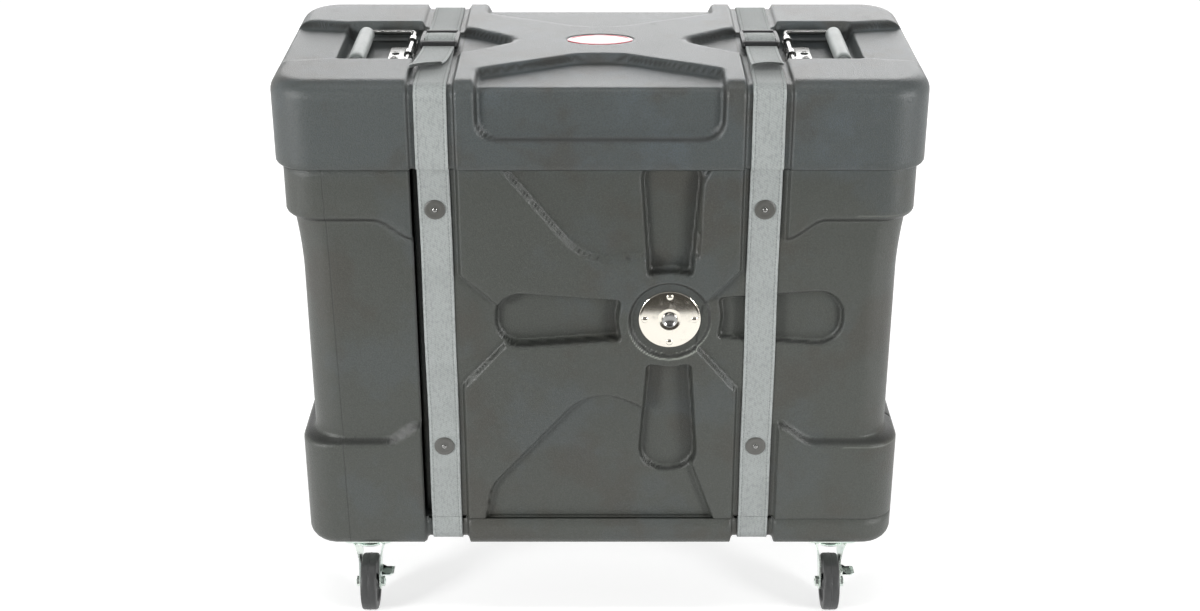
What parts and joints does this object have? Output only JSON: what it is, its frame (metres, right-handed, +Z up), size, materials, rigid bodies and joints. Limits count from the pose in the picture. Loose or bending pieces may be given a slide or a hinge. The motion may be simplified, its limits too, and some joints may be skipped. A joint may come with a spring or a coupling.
{
  "type": "wheeled drum trap case",
  "caption": "Wheeled moulded drum hardware case with a lift-off lid, folding handles, cinch straps and a drop-down cymbal vault.",
  "frame": {"origin": "on the floor under the middle of the case", "axes": "+X along the case to its right end, +Y to its back, +Z up"},
  "size_m": [0.767, 0.363, 0.733],
  "materials": {
    "case_plastic": "satin moulded polyethylene with a fine pebble",
    "badge_enamel": "gloss, bare",
    "nickel_plate": "polished",
    "bright_steel": "bright",
    "zinc_plate": "bright zinc",
    "felt": "felt",
    "nylon": "matte",
    "grip_rubber": "smooth matte",
    "strap_webbing": "woven webbing",
    "buckle_plastic": "satin",
    "washer_plastic": "matte",
    "wheel_rubber": "smooth"
  },
  "bodies": {
    "case": {"case_body": "case_plastic", "strap_rear_left": "strap_webbing", "strap_rear_right": "strap_webbing", "caster_mount_front_left": "zinc_plate", "caster_mount_front_right": "zinc_plate", "caster_mount_rear_left": "zinc_plate", "caster_mount_rear_right": "zinc_plate"},
    "lid": {"lid_shell": "case_plastic", "badge": "badge_enamel", "strap_top_left": "strap_webbing", "strap_top_right": "strap_webbing", "strap_tail_left": "strap_webbing", "strap_tail_right": "strap_webbing", "buckle_left": "buckle_plastic", "buckle_right": "buckle_plastic", "hinge_plate_left": "bright_steel", "hinge_plate_right": "bright_steel", "hinge_screw_left_front": "bright_steel", "hinge_screw_left_rear": "bright_steel", "hinge_screw_right_front": "bright_steel", "hinge_screw_right_rear": "bright_steel"},
    "door": {"vault_door": "case_plastic", "vault_plate": "nickel_plate", "plate_rivet_top": "bright_steel", "plate_rivet_left": "bright_steel", "plate_rivet_bottom": "bright_steel", "plate_rivet_right": "bright_steel", "vault_stud": "bright_steel", "vault_felt_front": "felt", "vault_sleeve": "nylon", "vault_felt_back": "felt", "strap_front_left": "strap_webbing", "strap_front_right": "strap_webbing", "strap_washer_left_low": "washer_plastic", "strap_washer_left_high": "washer_plastic", "strap_washer_right_low": "washer_plastic", "strap_washer_right_high": "washer_plastic", "strap_rivet_left_low": "bright_steel", "strap_rivet_left_high": "bright_steel", "strap_rivet_right_low": "bright_steel", "strap_rivet_right_high": "bright_steel"},
    "wing_nut": {"vault_wing_nut": "bright_steel"},
    "handle_left": {"handle_bail_left": "bright_steel", "handle_grip_left": "grip_rubber"},
    "handle_right": {"handle_bail_right": "bright_steel", "handle_grip_right": "grip_rubber"},
    "fork_front_left": {"caster_fork_front_left": "zinc_plate", "caster_axle_front_left": "zinc_plate"},
    "fork_front_right": {"caster_fork_front_right": "zinc_plate", "caster_axle_front_right": "zinc_plate"},
    "fork_rear_left": {"caster_fork_rear_left": "zinc_plate", "caster_axle_rear_left": "zinc_plate"},
    "fork_rear_right": {"caster_fork_rear_right": "zinc_plate", "caster_axle_rear_right": "zinc_plate"},
    "wheel_front_left": {"caster_wheel_front_left": "wheel_rubber"},
    "wheel_front_right": {"caster_wheel_front_right": "wheel_rubber"},
    "wheel_rear_left": {"caster_wheel_rear_left": "wheel_rubber"},
    "wheel_rear_right": {"caster_wheel_rear_right": "wheel_rubber"},
    "brake_front_left": {"brake_tab_front_left": "zinc_plate"},
    "brake_front_right": {"brake_tab_front_right": "zinc_plate"}
  },
  "joints": [
    {"name": "lid_lift", "type": "slide", "parent": "case", "child": "lid", "axis": [0, 0, 1], "range_m": [0, 0.12]},
    {"name": "door_drop", "type": "hinge", "parent": "case", "child": "door", "pos_m": [0, -0.167, 0.146], "axis": [1, 0, 0], "range_deg": [0, 100]},
    {"name": "wing_nut_spin", "type": "hinge", "parent": "door", "child": "wing_nut", "pos_m": [0.0845, -0.1108, 0.4247], "axis": [0, 1, 0], "continuous": true},
    {"name": "handle_fold_left", "type": "hinge", "parent": "lid", "child": "handle_left", "pos_m": [-0.232, 0, 0.718], "axis": [0, 1, 0], "range_deg": [0, 90]},
    {"name": "handle_fold_right", "type": "hinge", "parent": "lid", "child": "handle_right", "pos_m": [0.232, 0, 0.718], "axis": [0, -1, 0], "range_deg": [0, 90]},
    {"name": "swivel_front_left", "type": "hinge", "parent": "case", "child": "fork_front_left", "pos_m": [-0.3, -0.12, 0.0924], "axis": [0, 0, 1], "continuous": true},
    {"name": "swivel_front_right", "type": "hinge", "parent": "case", "child": "fork_front_right", "pos_m": [0.3, -0.12, 0.0924], "axis": [0, 0, 1], "continuous": true},
    {"name": "swivel_rear_left", "type": "hinge", "parent": "case", "child": "fork_rear_left", "pos_m": [-0.3, 0.12, 0.0924], "axis": [0, 0, 1], "continuous": true},
    {"name": "swivel_rear_right", "type": "hinge", "parent": "case", "child": "fork_rear_right", "pos_m": [0.3, 0.12, 0.0924], "axis": [0, 0, 1], "continuous": true},
    {"name": "roll_front_left", "type": "hinge", "parent": "fork_front_left", "child": "wheel_front_left", "pos_m": [-0.3, -0.144, 0.0375], "axis": [1, 0, 0], "continuous": true},
    {"name": "roll_front_right", "type": "hinge", "parent": "fork_front_right", "child": "wheel_front_right", "pos_m": [0.3, -0.144, 0.0375], "axis": [1, 0, 0], "continuous": true},
    {"name": "roll_rear_left", "type": "hinge", "parent": "fork_rear_left", "child": "wheel_rear_left", "pos_m": [-0.3, 0.144, 0.0375], "axis": [1, 0, 0], "continuous": true},
    {"name": "roll_rear_right", "type": "hinge", "parent": "fork_rear_right", "child": "wheel_rear_right", "pos_m": [0.3, 0.144, 0.0375], "axis": [1, 0, 0], "continuous": true},
    {"name": "brake_front_left", "type": "hinge", "parent": "fork_front_left", "child": "brake_front_left", "pos_m": [-0.2854, -0.144, 0.052], "axis": [0, 1, 0], "range_deg": [0, 20]},
    {"name": "brake_front_right", "type": "hinge", "parent": "fork_front_right", "child": "brake_front_right", "pos_m": [0.3146, -0.144, 0.052], "axis": [0, 1, 0], "range_deg": [0, 20]}
  ]
}
